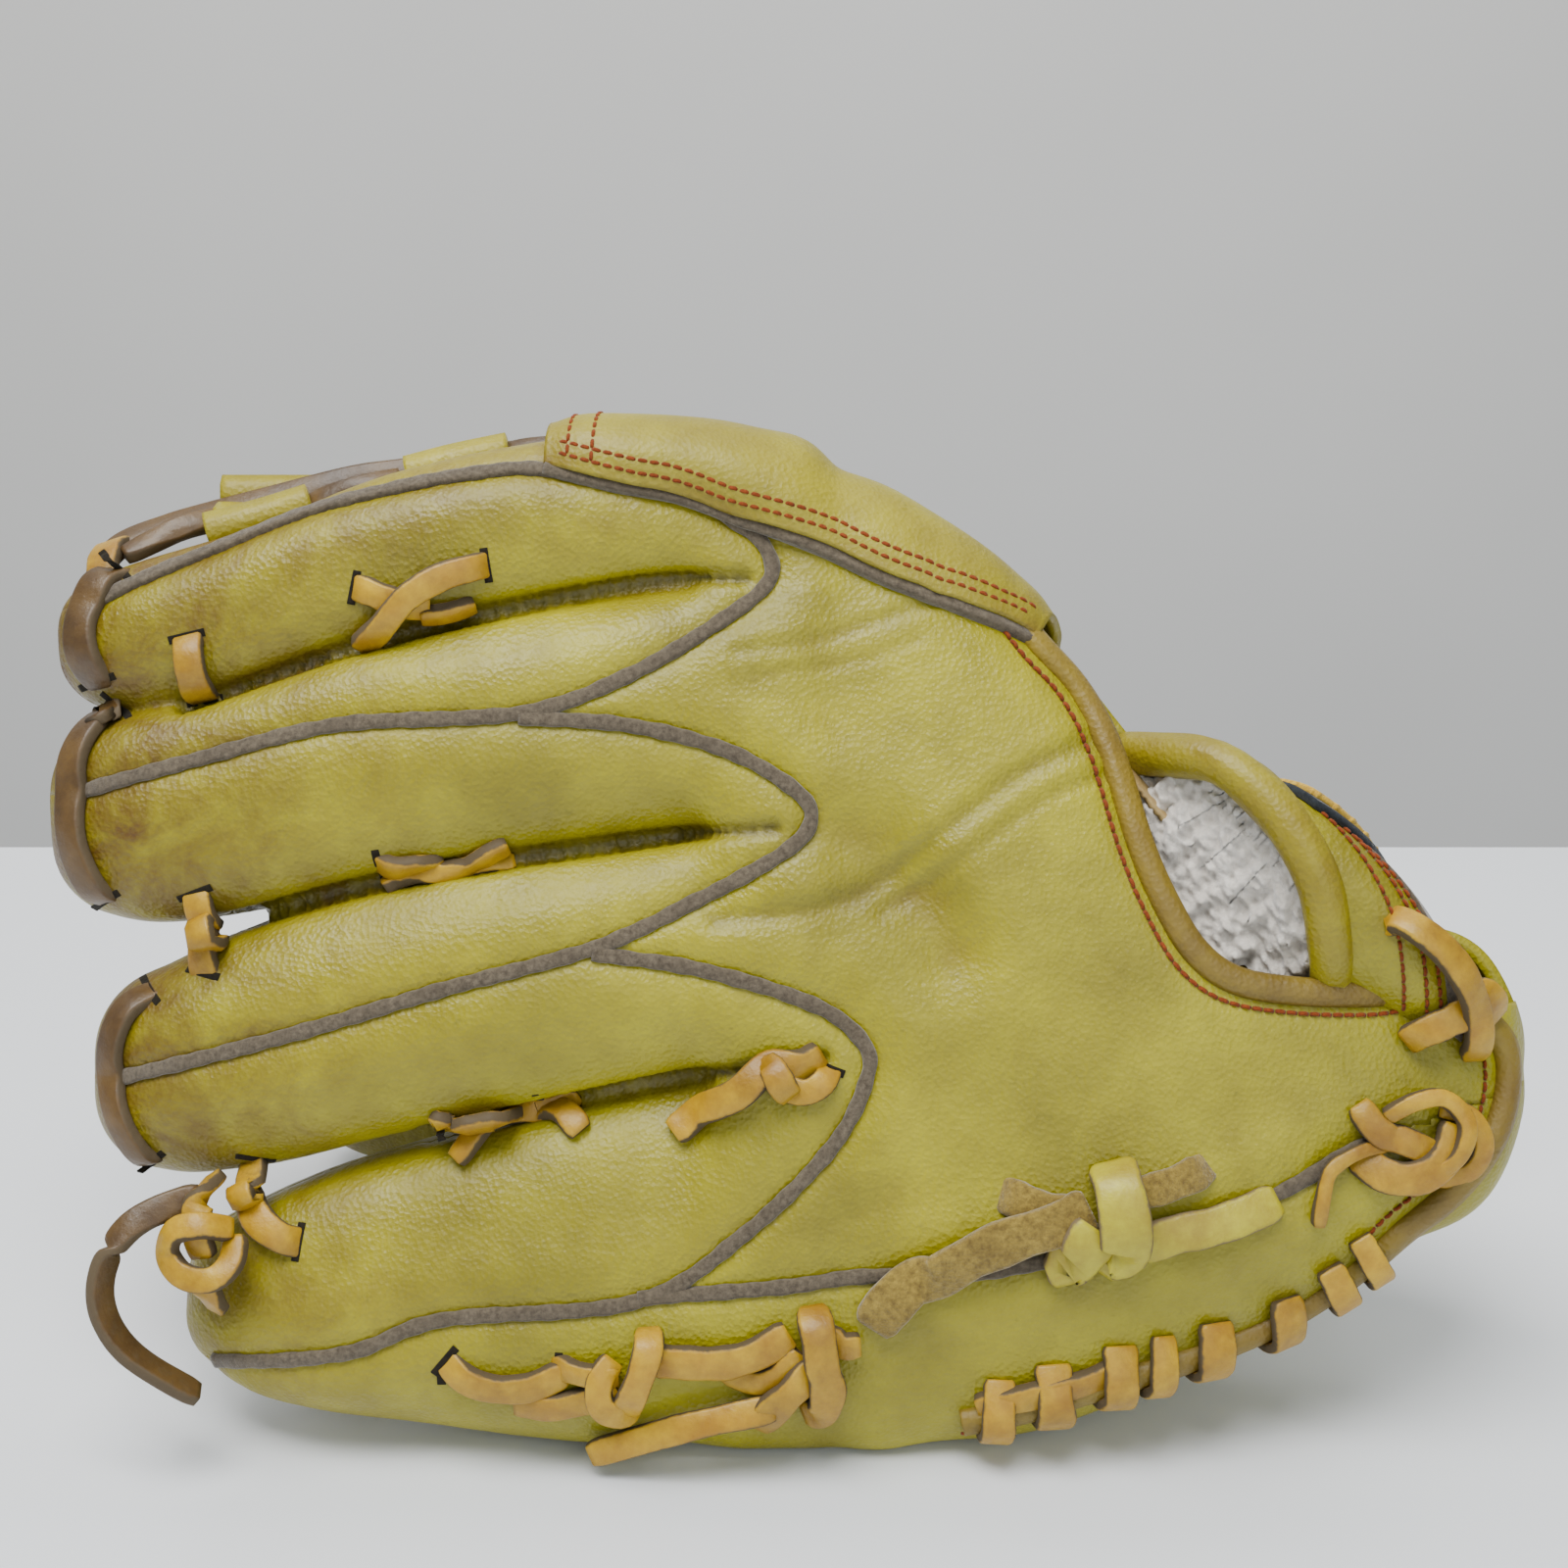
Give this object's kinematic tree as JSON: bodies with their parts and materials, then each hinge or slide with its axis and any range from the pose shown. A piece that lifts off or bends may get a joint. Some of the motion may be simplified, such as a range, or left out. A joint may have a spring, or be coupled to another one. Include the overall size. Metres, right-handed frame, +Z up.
{
  "type": "baseball fielding glove",
  "caption": "Left-hand leather fielding glove with laced finger stalls, web, padded palm, wrist strap and finger pad, stood closed on its edges.",
  "frame": {"origin": "centre of the glove's box on the surface it stands on", "axes": "+X from the fingertips to the wrist, +Z up, the hand back faces -Y and leans back"},
  "size_m": [0.3022, 0.1522, 0.2032],
  "materials": {
    "binding_leather": "rolled tan-worn binding leather",
    "felt_padding": "pressed wool felt",
    "fleece": "off-white curly fleece",
    "lace_leather": "yellow-tan rawhide lace with grey-brown edges",
    "lining_leather": "soft matt lining leather",
    "patch": "black felt with a plain gold embroidered edge",
    "shell_leather": "lime-yellow full-grain leather, worn and scuffed",
    "suede": "rough fibrous suede",
    "welt_felt": "grey-brown felt welting",
    "worn_lace": "dark brown worn lace"
  },
  "bodies": {
    "finger_side": {"crotch_lace": "lace_leather", "hand_back_lining": "lining_leather", "hand_back_panel": "shell_leather", "heel_knot": "lace_leather", "heel_lace": "lace_leather", "heel_welt": "welt_felt", "index_middle_gusset": "shell_leather", "index_middle_knot": "lace_leather", "index_middle_link": "lace_leather", "index_middle_welt": "welt_felt", "index_stall_lining": "lining_leather", "index_tip_lace": "worn_lace", "index_web_side_panel": "shell_leather", "label_patch": "patch", "middle_ring_gusset": "shell_leather", "middle_ring_knot": "lace_leather", "middle_ring_link": "lace_leather", "middle_ring_welt": "welt_felt", "middle_stall_lining": "lining_leather", "middle_tip_lace": "worn_lace", "palm_leather": "shell_leather", "palm_lining": "lining_leather", "palm_padding": "felt_padding", "pinky_loop_knot": "lace_leather", "pinky_loop_strap": "suede", "pinky_outer_panel": "shell_leather", "pinky_side_knots": "lace_leather", "pinky_side_lace": "lace_leather", "pinky_side_tail": "lace_leather", "pinky_stall_lining": "lining_leather", "pinky_tip_knot": "lace_leather", "pinky_tip_tail": "lace_leather", "ring_pinky_gusset": "shell_leather", "ring_pinky_knot": "lace_leather", "ring_pinky_link": "lace_leather", "ring_pinky_welt": "welt_felt", "ring_stall_lining": "lining_leather", "ring_tip_lace": "worn_lace", "strap_edge_roll": "binding_leather", "strap_fleece": "fleece", "strap_stitch_band": "welt_felt", "web_tab_rolls": "shell_leather", "wrist_binding": "binding_leather", "wrist_lace": "lace_leather", "wrist_strap": "shell_leather"},
    "thumb_side": {"thumb_back_panel": "shell_leather", "thumb_outer_panel": "shell_leather", "thumb_palm_leather": "shell_leather", "thumb_palm_padding": "felt_padding", "thumb_stall_lining": "lining_leather", "thumb_welt": "welt_felt", "web_cross_bars": "shell_leather", "web_spine": "shell_leather", "web_thumb_lace": "lace_leather"},
    "index_pad": {"finger_pad": "shell_leather"}
  },
  "joints": [
    {"name": "pocket_fold", "type": "hinge", "parent": "finger_side", "child": "thumb_side", "pos_m": [0.0003, 0.0172, 0.1988], "axis": [1, 0, 0], "range_deg": [-6, 25]},
    {"name": "finger_pad_lift", "type": "hinge", "parent": "finger_side", "child": "index_pad", "pos_m": [-0.0487, -0.0112, 0.2003], "axis": [0.9253, -0.1297, -0.3565], "range_deg": [0, 14], "stiffness_Nm_per_rad": 0.3}
  ]
}
